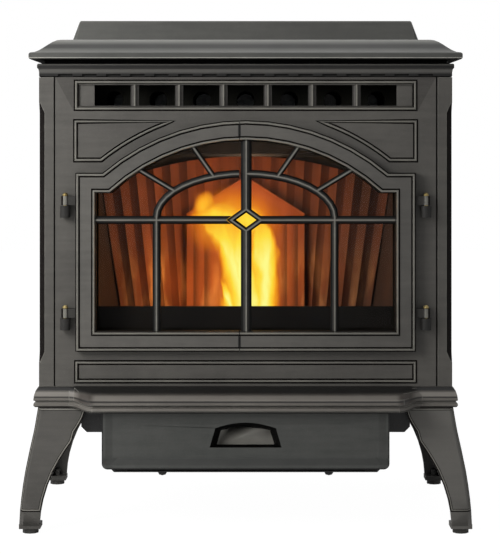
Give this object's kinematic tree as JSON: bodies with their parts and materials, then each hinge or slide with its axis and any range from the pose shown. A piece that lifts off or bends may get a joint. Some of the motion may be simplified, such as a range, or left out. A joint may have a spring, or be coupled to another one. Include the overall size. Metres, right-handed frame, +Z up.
{
  "type": "pellet stove",
  "caption": "Free-standing cast iron pellet stove on splayed legs, with arched barred doors, an ash lip and drawer, a hopper under a rear lid, and a flue stub behind.",
  "frame": {"origin": "on the floor, under the middle of the bounding box", "axes": "+Z up; the doors face -Y and the flue leaves towards +Y; X runs across the front"},
  "size_m": [0.7286, 0.658, 0.8426],
  "materials": {
    "cast_iron": "matte paint over a fine sand-cast grain",
    "cast_iron_dark": "matte, a little darker than the body",
    "rope": "woven glass fibre rope",
    "steel": "bare machined steel",
    "brass": "aged brass",
    "glass": "clear heat-proof glass",
    "firebox_plate": "dull, sooted steel plate",
    "liner": "fluted, rust brown from heat",
    "shroud": "rust orange from heat",
    "galvanised": "dull zinc coat",
    "motor": "semi-gloss black enamel",
    "black_sheet": "satin black heat-proof paint",
    "plastic": "matte black plastic"
  },
  "bodies": {
    "stove": {"base_casting": "cast_iron", "leg_front_left": "cast_iron", "leg_front_right": "cast_iron", "leg_rear_left": "cast_iron", "leg_rear_right": "cast_iron", "left_side_casting": "cast_iron", "right_side_casting": "cast_iron", "front_casting": "cast_iron", "cornice": "cast_iron", "top_plate": "cast_iron", "levelling_foot_front_left": "cast_iron_dark", "levelling_foot_front_right": "cast_iron_dark", "levelling_foot_rear_left": "cast_iron_dark", "levelling_foot_rear_right": "cast_iron_dark", "inner_door": "cast_iron_dark", "burn_pot": "cast_iron_dark", "door_gasket": "rope", "lid_hinge_pin_left": "steel", "lid_hinge_pin_right": "steel", "igniter": "steel", "door_hinge_pin_left_upper": "brass", "door_hinge_pin_left_lower": "brass", "door_hinge_pin_right_upper": "brass", "door_hinge_pin_right_lower": "brass", "exhaust_probe": "brass", "door_glass": "glass", "glass_retainer": "firebox_plate", "firebox": "firebox_plate", "pot_carrier": "firebox_plate", "baffle_plate": "firebox_plate", "heat_exchanger": "firebox_plate", "drawer_runner_left": "firebox_plate", "drawer_runner_right": "firebox_plate", "liner_back": "liner", "liner_left": "liner", "liner_right": "liner", "feed_shroud": "shroud", "hopper": "galvanised", "feed_tube": "galvanised", "smoke_duct": "galvanised", "exhaust_housing": "galvanised", "flue_collar": "galvanised", "air_riser": "galvanised", "air_blower_housing": "galvanised", "air_intake": "galvanised", "auger_motor": "motor", "exhaust_motor": "motor", "air_blower_motor": "motor", "rear_cover": "black_sheet", "drawer_housing": "black_sheet", "control_box": "plastic", "power_inlet": "plastic"},
    "left_leaf": {"left_door": "cast_iron"},
    "right_leaf": {"right_door": "cast_iron"},
    "lid": {"hopper_lid": "cast_iron_dark", "lid_gasket": "rope"},
    "drawer": {"ash_drawer": "cast_iron"},
    "feed_screw": {"auger": "steel"},
    "exhaust_wheel": {"exhaust_impeller": "steel"},
    "room_air_wheel": {"air_blower_wheel": "galvanised"}
  },
  "joints": [
    {"name": "left_door_swing", "type": "hinge", "parent": "stove", "child": "left_leaf", "pos_m": [-0.292, -0.27, 0.45], "axis": [0, 0, -1], "range_deg": [0, 115]},
    {"name": "right_door_swing", "type": "hinge", "parent": "stove", "child": "right_leaf", "pos_m": [0.292, -0.27, 0.45], "axis": [0, 0, 1], "range_deg": [0, 115]},
    {"name": "lid_lift", "type": "hinge", "parent": "stove", "child": "lid", "pos_m": [0, 0.2296, 0.8053], "axis": [-1, 0, 0], "range_deg": [0, 80]},
    {"name": "drawer_slide", "type": "slide", "parent": "stove", "child": "drawer", "axis": [0, -1, 0], "range_m": [0, 0.27]},
    {"name": "auger_turn", "type": "hinge", "parent": "stove", "child": "feed_screw", "pos_m": [0, 0.151, 0.317], "axis": [0, -0.7071, 0.7071], "continuous": true},
    {"name": "exhaust_fan_turn", "type": "hinge", "parent": "stove", "child": "exhaust_wheel", "pos_m": [-0.165, 0.079, 0.307], "axis": [1, 0, 0], "continuous": true},
    {"name": "room_fan_turn", "type": "hinge", "parent": "stove", "child": "room_air_wheel", "pos_m": [0.165, 0.079, 0.325], "axis": [1, 0, 0], "continuous": true}
  ]
}
